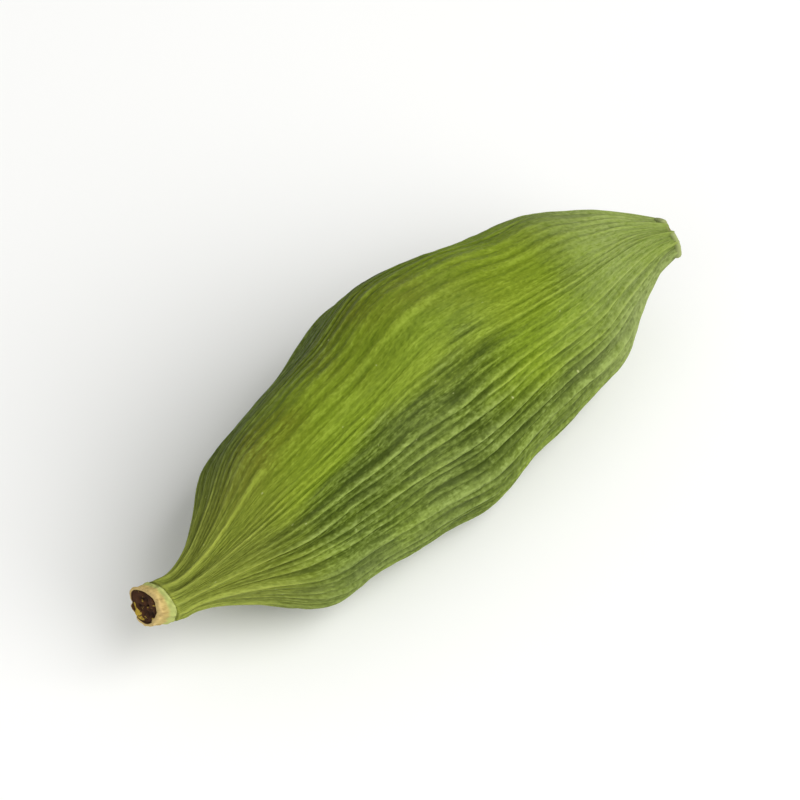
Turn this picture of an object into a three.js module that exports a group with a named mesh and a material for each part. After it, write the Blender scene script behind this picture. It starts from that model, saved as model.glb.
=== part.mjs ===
// A dried green cardamom pod, lying on one of its three flat sides, with the stub of its cut stalk.
// Millimetres, +Z up. +X runs along the pod from the cut stalk to the tip. The origin is on the
// surface that the pod lies on, under the middle of the pod's length.

import * as THREE from 'three';
import { mergeVertices } from 'three/addons/utils/BufferGeometryUtils.js';

// Driving dimensions, in millimetres.
const POD_LENGTH = 21;        // from the stalk's cut face to the tip
const POD_WIDTH = 7.4;        // across the fattest part, between the ribs' mean height
const AXIS_HEIGHT = 3.15;     // of the pod's axis above the surface, less than its lowest radius
const STALK_LENGTH = 0.6;
const STALK_RADIUS = 0.66;    // at the mouth of the cut stalk
const STALK_WALL = 0.15;      // of the corky rim round the pith
const CUT_SLANT = 0.25;       // slope of the cut face, which looks a little upwards
const PITH_DEPTH = 0.18;      // of the shrunken pith below the rim
const PITH_FLOOR = 0.8;       // share of the pith's width that its flat floor takes up
const JOIN_GAP = 0.04;        // between the stalk and the neck of the husk
const SCAR_DEPTH = 0.14;      // of the flower scar in the tip
const SCAR_FLOOR = 0.6;       // share of the scar's width that its flat floor takes up

// Outline of the husk, as shares of POD_LENGTH from the stalk's cut face and of half POD_WIDTH.
const OUTLINE = [
  [0.030, 0.178],             // neck, behind the stalk
  [0.060, 0.170],
  [0.100, 0.255],
  [0.150, 0.435],
  [0.215, 0.700],             // shoulder at the stalk end
  [0.310, 0.803],
  [0.400, 0.872],
  [0.520, 1.000],             // fattest part
  [0.700, 0.830],
  [0.800, 0.732],             // shoulder at the tip end
  [0.890, 0.505],
  [0.955, 0.302],
  [1.000, 0.165],             // rim of the flower scar
];

// Bend of the pod's axis seen from above, as shares of POD_LENGTH and millimetres towards +Y.
const BEND = [
  [0.000, -0.39],             // hook of the neck
  [0.050, -0.81],
  [0.150, -0.81],
  [0.350, -0.39],
  [0.550, 0.10],              // the side that bulges most
  [0.750, 0.03],
  [0.900, 0.06],
  [0.960, -0.12],
  [1.000, -0.42],             // the tip turns aside
];
const END_DROOP = 0.3;        // of both ends below the middle
const TWIST = 0.12;           // radians that the ribs turn along the pod

// Where the pod swells out of its neck and narrows to its tip, as shares of POD_LENGTH.
const SWELL = { from: 0.05, to: 0.24 };
const TAPER = { from: 0.82, to: 0.98 };

// The three lobes, one for each seed chamber, and the swellings that the seeds press out of them.
const LOBES = 3;
const TOP_LOBE = Math.PI / 2; // one lobe points straight up, so the pod lies on the side opposite
const LOBE_DEPTH = 0.075;     // share of the radius
const GROOVE_SHARPNESS = 1.5;
const SEED_SPACING = 3.1;
const SEED_PHASE = 0.7;       // share of SEED_SPACING from the cut face to the first seed's middle
const SEED_SWELLING = 0.05;

// The ribs, which are strands of fibre that stand out as the flesh between them dries.
const RIBS = 36;
const STRONG_RIB_STEP = 3;    // every third rib runs on into the neck and the tip
const RIB_HEIGHT = 0.17;
const RIB_CREST = 1.6;        // how narrow the crest is
const TROUGH_SHARE = 0.4;     // of the height, lying below the mean skin
const WEAK_RIB = 0.55;        // height of the lowest rib, as a share of a strong rib's
const RIB_ON_LOBE = 0.6;      // height on the crest of a lobe, as a share of that in a groove
const RIB_AT_ENDS = 0.45;     // height in the neck and the tip, as a share of that between them
const GOLDEN_SHARE = 0.618034;

// Ripples round the pod: the size of the swing, the number of waves in a turn and the phase.
const RIB_SPREAD = { swing: 0.045, waves: 4, phase: 0.7 };
const RIB_CROWDING = { swing: 0.03, waves: 7, phase: 2.1 };
const RIB_WANDER = { swing: 0.02, waves: 3, turns: 1.7 };  // its phase turns along the pod
const STALK_CORNERS = { swing: 0.05, waves: 3, phase: 1 };
const STALK_DENTS = { swing: 0.03, waves: 5, phase: 0 };

// Mesh density.
const SIDES_PER_RIB = 4;
const STATIONS = 28;
const END_CROWDING = 0.08;    // draws the stations together at both ends
const STALK_SIDES = 24;
const RIM_STEPS = 4;

const HUSK_START = STALK_LENGTH + JOIN_GAP;
const TAU = 2 * Math.PI;

const { clamp, lerp, smoothstep } = THREE.MathUtils;

function ripple({ swing, waves, phase }, turn) {
  return swing * Math.sin(waves * turn + phase);
}

// A smooth cubic through points given as [share, value], whose slope at a point is that of the line
// between its two neighbours.
function smoothCurve(points, share) {
  const last = points.length - 1;
  const x = clamp(share, points[0][0], points[last][0]);
  const i = clamp(points.findIndex(([at]) => at >= x) - 1, 0, last - 1);
  const [[x0, v0], [x1, v1]] = [points[i], points[i + 1]];
  const slope = (k) => {
    const [before, after] = [points[Math.max(k - 1, 0)], points[Math.min(k + 1, last)]];
    return (after[1] - before[1]) / (after[0] - before[0]);
  };
  const step = x1 - x0;
  const t = (x - x0) / step;
  const rise = v0 * (1 + 2 * t) * (1 - t) ** 2 + v1 * t * t * (3 - 2 * t);
  const lean = step * (slope(i) * t * (1 - t) ** 2 - slope(i + 1) * t * t * (1 - t));
  return rise + lean;
}

// Radius of the husk at a distance along the pod.
function huskRadius(along) {
  return smoothCurve(OUTLINE, along / POD_LENGTH) * POD_WIDTH / 2;
}

// How much of the pod's full section shows at a distance along it: 0 at the neck and tip, 1 between.
function fullness(along) {
  const share = along / POD_LENGTH;
  return smoothstep(share, SWELL.from, SWELL.to) * (1 - smoothstep(share, TAPER.from, TAPER.to));
}

// Angle round the axis of a place counted in ribs, from +Y up towards +Z. Ribs are unevenly spaced
// and wander a little along the pod.
function ribAngle(place, along) {
  const turn = TAU * place / RIBS;
  const share = along / POD_LENGTH;
  const spacing = ripple(RIB_SPREAD, turn) + ripple(RIB_CROWDING, turn);
  const phase = TAU * RIB_WANDER.turns * share;
  const wander = ripple({ ...RIB_WANDER, phase }, turn) * fullness(along);
  return turn + spacing + wander + TWIST * (share - 0.5);
}

// From 1 on the crest of a lobe to -1 in the groove between two lobes.
function lobeShape(angle) {
  const groove = (1 - Math.cos(LOBES * (angle - TOP_LOBE))) / 2;
  return 1 - 2 * groove ** GROOVE_SHARPNESS;
}

// Height of the ribs at a place counted in ribs. Ribs are higher in the grooves between lobes, and
// only every third one reaches the ends.
function ribRelief(place, angle, along) {
  const rib = Math.round(place) % RIBS;
  const crest = ((1 + Math.cos(TAU * place)) / 2) ** RIB_CREST;
  const strong = rib % STRONG_RIB_STEP === 0;
  const own = strong ? 1 : lerp(WEAK_RIB, 1, (rib * GOLDEN_SHARE) % 1) * fullness(along);
  const zone = lerp(1, RIB_ON_LOBE, (1 + lobeShape(angle)) / 2);
  const ends = lerp(RIB_AT_ENDS, 1, fullness(along));
  return RIB_HEIGHT * zone * ends * (own * crest - TROUGH_SHARE);
}

// Soft swellings over the seeds, out of step from lobe to lobe.
function seedSwelling(angle, along) {
  const lobe = (Math.round(LOBES * (angle - TOP_LOBE) / TAU) + LOBES) % LOBES;
  const wave = Math.cos(TAU * (along / SEED_SPACING + SEED_PHASE + lobe * GOLDEN_SHARE));
  return SEED_SWELLING * wave * Math.max(0, lobeShape(angle)) * fullness(along);
}

// Centre of the pod's section at a distance along it.
function axisPoint(along) {
  const share = along / POD_LENGTH;
  const droop = END_DROOP * (2 * share - 1) ** 2;
  return new THREE.Vector3(along - POD_LENGTH / 2, smoothCurve(BEND, share), AXIS_HEIGHT - droop);
}

// A solid turned from a profile about the pod's axis, as merged vertices. Each vertex has a distance
// along the pod, a turn from +Y towards +Z and a radius, and goes to place(along, turn, radius).
function turnedSolid(profile, sides, place) {
  const lathe = new THREE.LatheGeometry(profile, sides);
  lathe.deleteAttribute('normal');
  lathe.deleteAttribute('uv');
  const solid = mergeVertices(lathe);
  const points = solid.getAttribute('position');
  const vertex = new THREE.Vector3();
  for (let i = 0; i < points.count; i++) {
    vertex.fromBufferAttribute(points, i);
    const turn = (Math.atan2(vertex.x, vertex.z) + TAU) % TAU;
    vertex.copy(place(vertex.y, turn, Math.hypot(vertex.x, vertex.z)));
    points.setXYZ(i, vertex.x, vertex.y, vertex.z);
  }
  solid.computeVertexNormals();
  return solid;
}

// The point of a section at an angle and radius round the pod's axis, never below the surface that
// the pod lies on: that leaves its small flat resting spot.
function sectionPoint(along, angle, radius) {
  const centre = axisPoint(along);
  const y = centre.y + radius * Math.cos(angle);
  const z = centre.z + radius * Math.sin(angle);
  return new THREE.Vector3(centre.x, y, Math.max(z, 0));
}

function huskGeometry() {
  const profile = [new THREE.Vector2(0, HUSK_START)];
  for (let i = 0; i <= STATIONS; i++) {
    const even = i / STATIONS;
    const crowded = even - END_CROWDING * Math.sin(TAU * even);
    const along = lerp(HUSK_START, POD_LENGTH, crowded);
    profile.push(new THREE.Vector2(huskRadius(along), along));
  }
  const rim = huskRadius(POD_LENGTH);
  profile.push(new THREE.Vector2(rim * SCAR_FLOOR, POD_LENGTH - SCAR_DEPTH));
  profile.push(new THREE.Vector2(0, POD_LENGTH - SCAR_DEPTH));

  return turnedSolid(profile, RIBS * SIDES_PER_RIB, (along, turn, radius) => {
    const ribPlace = turn / TAU * RIBS;
    const angle = ribAngle(ribPlace, along);
    const lobed = radius * (1 + LOBE_DEPTH * lobeShape(angle) * fullness(along));
    const skin = radius / huskRadius(along);
    const relief = ribRelief(ribPlace, angle, along) + seedSwelling(angle, along);
    return sectionPoint(along, angle, lobed + relief * skin);
  });
}

function stalkGeometry() {
  const neck = huskRadius(HUSK_START);
  const pith = STALK_RADIUS - STALK_WALL;
  const rimRound = STALK_WALL / 2;
  const profile = [
    new THREE.Vector2(0, PITH_DEPTH),
    new THREE.Vector2(pith * PITH_FLOOR, PITH_DEPTH),
  ];
  for (let i = 0; i <= RIM_STEPS; i++) {
    const turn = Math.PI * i / RIM_STEPS;
    const radius = STALK_RADIUS - rimRound - rimRound * Math.cos(turn);
    profile.push(new THREE.Vector2(radius, rimRound - rimRound * Math.sin(turn)));
  }
  profile.push(new THREE.Vector2(neck, STALK_LENGTH), new THREE.Vector2(0, STALK_LENGTH));

  return turnedSolid(profile, STALK_SIDES, (along, turn, radius) => {
    const uneven = 1 + ripple(STALK_CORNERS, turn) + ripple(STALK_DENTS, turn);
    const slant = CUT_SLANT * (STALK_RADIUS + radius * Math.sin(turn)) * (1 - along / STALK_LENGTH);
    return sectionPoint(along + slant, turn, radius * uneven);
  });
}

function subPart(name, geometry, color, roughness) {
  const material = new THREE.MeshStandardMaterial({ color, roughness, metalness: 0 });
  const mesh = new THREE.Mesh(geometry, material);
  mesh.name = name;
  return mesh;
}

const pod = new THREE.Group();
pod.name = 'green_cardamom_pod';
pod.add(
  subPart('husk', huskGeometry(), 0x7f9236, 0.6),
  subPart('stalk', stalkGeometry(), 0xb7a565, 0.8),
);

export default pod;
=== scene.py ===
"""Looks of a dried green cardamom pod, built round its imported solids.

Every piece is a surface worked out on a grid of two parameters, in millimetres and in the solids' frame.
Distances along the pod run from the stalk's cut face to the tip. Angles run round the pod's axis from +Y up
towards +Z, and a place round the pod is counted in ribs.
"""

import logging
from dataclasses import dataclass, field
from enum import Enum
from typing import Any

import bpy
import numpy as np
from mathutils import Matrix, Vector
from numpy.typing import NDArray


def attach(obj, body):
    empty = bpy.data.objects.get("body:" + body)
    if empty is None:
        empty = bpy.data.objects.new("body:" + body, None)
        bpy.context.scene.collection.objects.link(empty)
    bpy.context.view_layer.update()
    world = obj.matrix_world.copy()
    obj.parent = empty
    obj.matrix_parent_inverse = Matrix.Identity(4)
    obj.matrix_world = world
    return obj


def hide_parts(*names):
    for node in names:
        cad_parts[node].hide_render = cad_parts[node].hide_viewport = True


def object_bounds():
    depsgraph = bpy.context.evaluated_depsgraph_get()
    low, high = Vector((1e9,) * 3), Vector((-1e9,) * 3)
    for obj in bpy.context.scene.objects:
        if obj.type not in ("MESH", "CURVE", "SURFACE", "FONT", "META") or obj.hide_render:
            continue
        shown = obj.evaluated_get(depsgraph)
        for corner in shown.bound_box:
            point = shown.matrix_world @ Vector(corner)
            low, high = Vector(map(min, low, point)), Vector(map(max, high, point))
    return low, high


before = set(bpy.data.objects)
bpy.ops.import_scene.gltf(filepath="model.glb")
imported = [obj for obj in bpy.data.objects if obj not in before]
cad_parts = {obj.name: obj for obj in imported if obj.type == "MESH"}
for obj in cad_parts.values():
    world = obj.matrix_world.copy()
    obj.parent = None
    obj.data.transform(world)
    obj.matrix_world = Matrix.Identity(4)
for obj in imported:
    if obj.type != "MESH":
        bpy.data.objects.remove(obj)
CAD_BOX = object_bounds()

Array = NDArray[np.float64]
Span = tuple[float, float]
LOG = logging.getLogger("green_cardamom_pod")
BODY = "root"
MM = 0.001
TAU = 2 * np.pi
GOLDEN_SHARE = 0.618034


class SkinMap(Enum):
    """Values painted on a piece's points for its material to read, each from 0 to 1 unless it says more."""

    CREST = "crest"        # how much of a rib's pale crest shows, rubbed and painted highlight
    TROUGH = "trough"      # how deep the skin lies between two ribs, darkened partly as painted shade
    LOBE = "lobe"          # 0 in a groove between lobes, 1 on a lobe, with painted light and shade
    BLOOM = "bloom"        # how much of the grey film shows, and the greyer low side
    NECK = "neck"          # 1 where the piece meets the stalk
    TAN = "tan"            # how much tan shows: tan patches, and painted shade on the flank
    FIBRE = "fibre"        # a vector in millimetres: along the fibres, then on a circle across them


def lerp(low: Array | float, high: Array | float, share: Array | float) -> Array:
    """Returns the value that lies the given share of the way from low to high."""
    return low + (high - low) * share


def smoothstep(value: Array, start: Array | float, end: Array | float) -> Array:
    """Returns 0 before start, 1 after end and the S-shaped blend 3t² - 2t³ between them."""
    t = np.clip((value - start) / (end - start), 0, 1)
    return t * t * (3 - 2 * t)


def across_fibres(along: Array, angle: Array, radius: Array | float) -> Array:
    """Returns points in millimetres along a piece and on a circle across it, for the grain of its fibres."""
    return np.stack(np.broadcast_arrays(along, radius * np.cos(angle), radius * np.sin(angle)), axis=-1)


def disc_rings(count: int) -> tuple[Array, Array]:
    """Lists the rings of a disc from the middle of its face, over its edge and in under it.

    Args:
        count: Number of rings on the face.

    Returns:
        The width of each ring as a share of the disc's, and whether it lies under the disc.
    """
    middle, under = 0.08, [0.95, 0.4]
    shares = np.concatenate([np.linspace(middle, 1, count), under])[:, None]
    return shares, (np.arange(len(shares)) >= count)[:, None]


@dataclass(frozen=True)
class Unevenness:
    """Smooth seeded noise over a piece, which closes round the pod.

    Each point of a lattice has a random value, and between the points the values are blended by the S-shaped
    weight 3t² - 2t³ in both directions.

    Attributes:
        size: Greatest height of the noise, up or down.
        cells: Numbers of lattice cells round and along the piece.
        seed: Seed of the lattice's values.
    """

    size: float
    cells: tuple[int, int]
    seed: int

    def at(self, around: Array, along: Array | float) -> Array:
        """Works out the noise.

        Args:
            around: Place round the piece, as a share of a turn.
            along: Place along the piece, as a share of its length.

        Returns:
            The noise, in the shape that around and along have together.
        """
        turns, steps = self.cells
        values = np.random.default_rng(self.seed).uniform(-1, 1, (turns, steps + 2))
        x = np.mod(around, 1) * turns
        y = np.clip(along, 0, 1) * steps
        column, row = np.floor(x).astype(int), np.floor(y).astype(int)
        across, up = smoothstep(x - column, 0, 1), smoothstep(y - row, 0, 1)
        left, right = column % turns, (column + 1) % turns
        low = lerp(values[left, row], values[right, row], across)
        high = lerp(values[left, row + 1], values[right, row + 1], across)
        return self.size * lerp(low, high, up)


@dataclass(frozen=True)
class Side:
    """One side of the pod, which fades out round it.

    Attributes:
        angle: Angle that it faces.
        edge: Cosines of the angles from there at which it begins and is whole.
    """

    angle: float
    edge: Span

    def at(self, angle: Array) -> Array:
        """Returns 0 off this side, 1 in its middle and a soft blend between them."""
        return smoothstep(np.cos(angle - self.angle), *self.edge)


@dataclass
class RingSurface:
    """A closed surface of rings of points.

    Attributes:
        points: The rings in millimetres, of shape (rings, sides, 3).
        maps: Values by the map that they paint, which spread to (rings, sides), or are vectors.
        looped: Whether the last ring joins the first. Otherwise each end closes on a point in its middle.
    """

    points: Array
    maps: dict[SkinMap, Array] = field(default_factory=dict)
    looped: bool = False

    def with_ends(self, values: Array) -> Array:
        """Lists the values of every ring, and after them their means on the first and last ring.

        Args:
            values: Values of shape (rings, sides, width).

        Returns:
            The values as rows, in the order of the mesh's points.
        """
        rows = values.reshape(-1, values.shape[-1])
        if self.looped:
            return rows
        return np.vstack([rows, values[0].mean(axis=0), values[-1].mean(axis=0)])

    def faces(self) -> list[list[int]]:
        """Lists the faces: quads between neighbouring rings, and a fan of triangles at each open end."""
        rings, sides = self.points.shape[:2]
        index = np.arange(rings * sides).reshape(rings, sides)
        upper = np.roll(index, -1, axis=0) if self.looped else index[1:]
        lower = index if self.looped else index[:-1]
        turned = [np.roll(part, -1, axis=1) for part in (lower, upper)]
        quads = np.stack([lower, turned[0], turned[1], upper], axis=-1).reshape(-1, 4).tolist()
        if self.looped:
            return quads
        first, last = index[0], index[-1]
        poles = np.full((2, sides), [[rings * sides], [rings * sides + 1]])
        start = np.stack([poles[0], np.roll(first, -1), first], axis=-1).tolist()
        end = np.stack([poles[1], last, np.roll(last, -1)], axis=-1).tolist()
        return quads + start + end

    def build(self, name: str) -> bpy.types.Object:
        """Makes the surface a mesh object in metres, smooth and with its maps painted on.

        Args:
            name: Name of the piece.

        Returns:
            The object, which sits at the origin.
        """
        mesh = bpy.data.meshes.new(name)
        mesh.from_pydata(self.with_ends(self.points) * MM, [], self.faces())
        mesh.shade_smooth()
        for skin_map, values in self.maps.items():
            is_vector = values.ndim == 3
            spread = values if is_vector else np.broadcast_to(values, self.points.shape[:2])[..., None]
            rows = self.with_ends(spread)
            kind, part = ("FLOAT_VECTOR", "vector") if is_vector else ("FLOAT", "value")
            attribute = mesh.attributes.new(skin_map.value, kind, "POINT")
            attribute.data.foreach_set(part, rows.astype(np.float32).ravel())
        piece = bpy.data.objects.new(name, mesh)
        bpy.context.scene.collection.objects.link(piece)
        return piece


def settle(piece: bpy.types.Object, finish: bpy.types.Material, slot: str, *nodes: str) -> None:
    """Dresses a piece, seats it on the pod's body and hides the solids that it stands for.

    Args:
        piece: The piece.
        finish: Its material.
        slot: The record's material slot; not used.
        *nodes: Solids that the piece stands for.
    """
    piece.data.materials.append(finish)
    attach(piece, BODY)
    if nodes:
        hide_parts(*nodes)
    LOG.info("%s: %d faces on %s", piece.name, len(piece.data.polygons), BODY)


@dataclass(frozen=True)
class Ripple:
    """A wave round the pod: the size of its swing, the number of waves in a turn and its phase."""

    swing: float
    waves: int
    phase: float = 0.0

    def at(self, turn: Array, phase: Array | float = 0.0) -> Array:
        """Returns the height of the wave at a turn in radians, with a further phase."""
        return self.swing * np.sin(self.waves * turn + self.phase + phase)


@dataclass(frozen=True)
class Curve:
    """A smooth cubic through points, each a share of the pod's length and the value there."""

    points: tuple[Span, ...]

    def at(self, share: Array) -> Array:
        """Works out the cubic, whose slope at a point is that of the line between its two neighbours.

        Args:
            share: Shares of the pod's length.

        Returns:
            The values there.
        """
        place, value = np.array(self.points).T
        order = np.arange(len(place))
        before, after = np.maximum(order - 1, 0), np.minimum(order + 1, len(place) - 1)
        slope = (value[after] - value[before]) / (place[after] - place[before])
        x = np.clip(share, place[0], place[-1])
        i = np.clip(np.searchsorted(place, x) - 1, 0, len(place) - 2)
        step = place[i + 1] - place[i]
        t = (x - place[i]) / step
        rise = value[i] * (1 + 2 * t) * (1 - t) ** 2 + value[i + 1] * t * t * (3 - 2 * t)
        lean = step * (slope[i] * t * (1 - t) ** 2 - slope[i + 1] * t * t * (1 - t))
        return rise + lean


@dataclass(frozen=True)
class PodShape:
    """Form of the whole pod in millimetres, as its solids have it.

    Attributes:
        length: From the stalk's cut face to the tip.
        width: Across the fattest part, at the ribs' mean height.
        axis_height: Of the pod's axis above the surface that it lies on.
        outline: Radius of the husk along the pod, as a share of half the width.
        bend: Sideways bend of the axis along the pod, towards +Y.
        end_droop: How far both ends droop.
        twist: Radians that the ribs turn along the pod.
        swell: Shares of the length between which the pod swells out of its neck.
        taper: Shares of the length between which it narrows to its tip.
        lobes: Number of lobes, one for each seed chamber.
        top_lobe: Angle of the lobe that points up.
        lobe_depth: Depth of the grooves between lobes, as a share of the radius.
        groove_sharpness: How narrow the grooves are.
        seed_spacing: Between the swellings over two seeds.
        seed_phase: Share of that spacing from the cut face to the first seed.
        seed_swelling: Height of a swelling.
        ribs: Number of main ribs.
        spread: Slow unevenness of the ribs' spacing.
        crowding: Quick unevenness of their spacing.
        wander: Sideways wander of the ribs along the pod.
        wander_turns: Turns of phase that the wander goes through along the pod.
    """

    length: float
    width: float = 7.4
    axis_height: float = 3.15
    outline: Curve = Curve((
        (0.030, 0.178), (0.060, 0.170), (0.100, 0.255), (0.150, 0.435), (0.215, 0.700), (0.310, 0.803),
        (0.400, 0.872), (0.520, 1.000), (0.700, 0.830), (0.800, 0.732), (0.890, 0.505), (0.955, 0.302),
        (1.000, 0.165),
    ))
    bend: Curve = Curve((
        (0.00, -0.39), (0.05, -0.81), (0.15, -0.81), (0.35, -0.39), (0.55, 0.10), (0.75, 0.03),
        (0.90, 0.06), (0.96, -0.12), (1.00, -0.42),
    ))
    end_droop: float = 0.3
    twist: float = 0.12
    swell: Span = (0.05, 0.24)
    taper: Span = (0.82, 0.98)
    lobes: int = 3
    top_lobe: float = np.pi / 2
    lobe_depth: float = 0.075
    groove_sharpness: float = 1.5
    seed_spacing: float = 3.1
    seed_phase: float = 0.7
    seed_swelling: float = 0.05
    ribs: int = 36
    spread: Ripple = Ripple(0.045, 4, 0.7)
    crowding: Ripple = Ripple(0.03, 7, 2.1)
    wander: Ripple = Ripple(0.02, 3)
    wander_turns: float = 1.7

    def radius(self, along: Array) -> Array:
        """Returns the husk's mean radius at a distance along the pod."""
        return self.outline.at(along / self.length) * self.width / 2

    def fullness(self, along: Array) -> Array:
        """Returns how much of the full section shows: 0 at the neck and the tip, and 1 between them."""
        share = along / self.length
        return smoothstep(share, *self.swell) * (1 - smoothstep(share, *self.taper))

    def rib_angle(self, place: Array, along: Array) -> Array:
        """Returns the angle of a place counted in ribs, with their uneven spacing, wander and twist."""
        turn = TAU * place / self.ribs
        share = along / self.length
        spacing = self.spread.at(turn) + self.crowding.at(turn)
        wander = self.wander.at(turn, TAU * self.wander_turns * share) * self.fullness(along)
        return turn + spacing + wander + self.twist * (share - 0.5)

    def lobe_shape(self, angle: Array) -> Array:
        """Returns 1 on the crest of a lobe, down to -1 in the groove between two lobes."""
        groove = (1 - np.cos(self.lobes * (angle - self.top_lobe))) / 2
        return 1 - 2 * groove ** self.groove_sharpness

    def swelling(self, angle: Array, along: Array) -> Array:
        """Returns the height of the soft swellings over the seeds, out of step from lobe to lobe."""
        lobe = np.mod(np.rint(self.lobes * (angle - self.top_lobe) / TAU), self.lobes)
        wave = np.cos(TAU * (along / self.seed_spacing + self.seed_phase + lobe * GOLDEN_SHARE))
        return self.seed_swelling * wave * np.maximum(0, self.lobe_shape(angle)) * self.fullness(along)

    def point(self, along: Array, angle: Array, radius: Array) -> Array:
        """Places a point at an angle and radius round the bent axis, never below the resting surface.

        Args:
            along: Distance along the pod.
            angle: Angle round the axis.
            radius: Distance from the axis.

        Returns:
            The points, of the shape of the arguments and then 3.
        """
        share = along / self.length
        droop = self.end_droop * (2 * share - 1) ** 2
        y = self.bend.at(share) + radius * np.cos(angle)
        z = self.axis_height - droop + radius * np.sin(angle)
        return np.stack(np.broadcast_arrays(along - self.length / 2, y, np.maximum(z, 0)), axis=-1)


def linear(code: str) -> tuple[float, float, float, float]:
    """Turns an sRGB hex colour, such as "8fa33a", into linear red, green, blue and alpha."""
    parts = [int(code[i:i + 2], 16) / 255 for i in (0, 2, 4)]
    return (*(c / 12.92 if c <= 0.04045 else ((c + 0.055) / 1.055) ** 2.4 for c in parts), 1.0)


def add_node(tree: bpy.types.NodeTree, kind: str, inputs: dict[Any, Any], **settings: Any) -> Any:
    """Adds a node to a material.

    Args:
        tree: The material's node tree.
        kind: Blender's name of the node's type.
        inputs: A value, or an output socket to link, for each input by its name or number.
        **settings: The node's own properties.

    Returns:
        The node's outputs.
    """
    node = tree.nodes.new(kind)
    for name, value in settings.items():
        setattr(node, name, value)
    for key, value in inputs.items():
        if isinstance(value, bpy.types.NodeSocket):
            tree.links.new(value, node.inputs[key])
        else:
            node.inputs[key].default_value = value
    return node.outputs


def new_material(name: str) -> tuple[bpy.types.Material, bpy.types.NodeTree]:
    """Makes an empty node material and returns it with its tree."""
    material = bpy.data.materials.new(name)
    material.use_nodes = True
    material.node_tree.nodes.clear()
    return material, material.node_tree


@dataclass(frozen=True)
class Ramp:
    """A straight change of one value into another, held at both ends.

    Attributes:
        start: Value at which the change begins.
        end: Value at which it ends.
        low: What it gives at its start.
        high: What it gives at its end.
    """

    start: float
    end: float
    low: float = 0.0
    high: float = 1.0

    def of(self, value: bpy.types.NodeSocket) -> dict[str, Any]:
        """Returns the inputs of a node that makes this change to a socket's value."""
        ends = {"From Min": self.start, "From Max": self.end, "To Min": self.low, "To Max": self.high}
        return {"Value": value, **ends}


@dataclass(frozen=True)
class Grain:
    """A pattern of marks drawn out along the fibres.

    Attributes:
        width: Width of a mark, in millimetres.
        length: Length of a mark.
        detail: Number of finer layers in it.
        roughness: Strength of each finer layer, as a share of the one before.
    """

    width: float
    length: float
    detail: float
    roughness: float = 0.5

    def add(self, tree: bpy.types.NodeTree, fibre: bpy.types.NodeSocket) -> Any:
        """Adds the pattern to a material.

        Args:
            tree: The material's node tree.
            fibre: Place along and across the fibres, in millimetres.

        Returns:
            The pattern's outputs.
        """
        stretch = (self.width / self.length, 1, 1)
        drawn_out = add_node(tree, "ShaderNodeMapping", {"Vector": fibre, "Scale": stretch})["Vector"]
        layers = {"Scale": 1 / self.width, "Detail": self.detail, "Roughness": self.roughness}
        return add_node(tree, "ShaderNodeTexNoise", {"Vector": drawn_out, **layers})


@dataclass(frozen=True)
class Surface:
    """How a dry surface takes the light.

    Attributes:
        roughness: Roughness of the surface.
        specular: Its specular level.
        bump_height: Height of its fine relief, in millimetres.
    """

    roughness: float
    specular: float
    bump_height: float = 0.0

    def add(self, tree: bpy.types.NodeTree, colour: Any, relief: Any = None, **sockets: Any) -> None:
        """Ends a material with its shader.

        Args:
            tree: The material's node tree.
            colour: The surface's colour.
            relief: The fine relief, from 0 to 1, or None for a surface without any.
            **sockets: Further values of the shader that stand in for the surface's own.
        """
        look = {"Base Color": colour, "Roughness": self.roughness, "Specular IOR Level": self.specular}
        look.update(sockets)
        if relief is not None:
            height = {"Height": relief, "Distance": self.bump_height * MM}
            look["Normal"] = add_node(tree, "ShaderNodeBump", height)["Normal"]
        shader = add_node(tree, "ShaderNodeBsdfPrincipled", look)["BSDF"]
        add_node(tree, "ShaderNodeOutputMaterial", {"Surface": shader})


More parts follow.
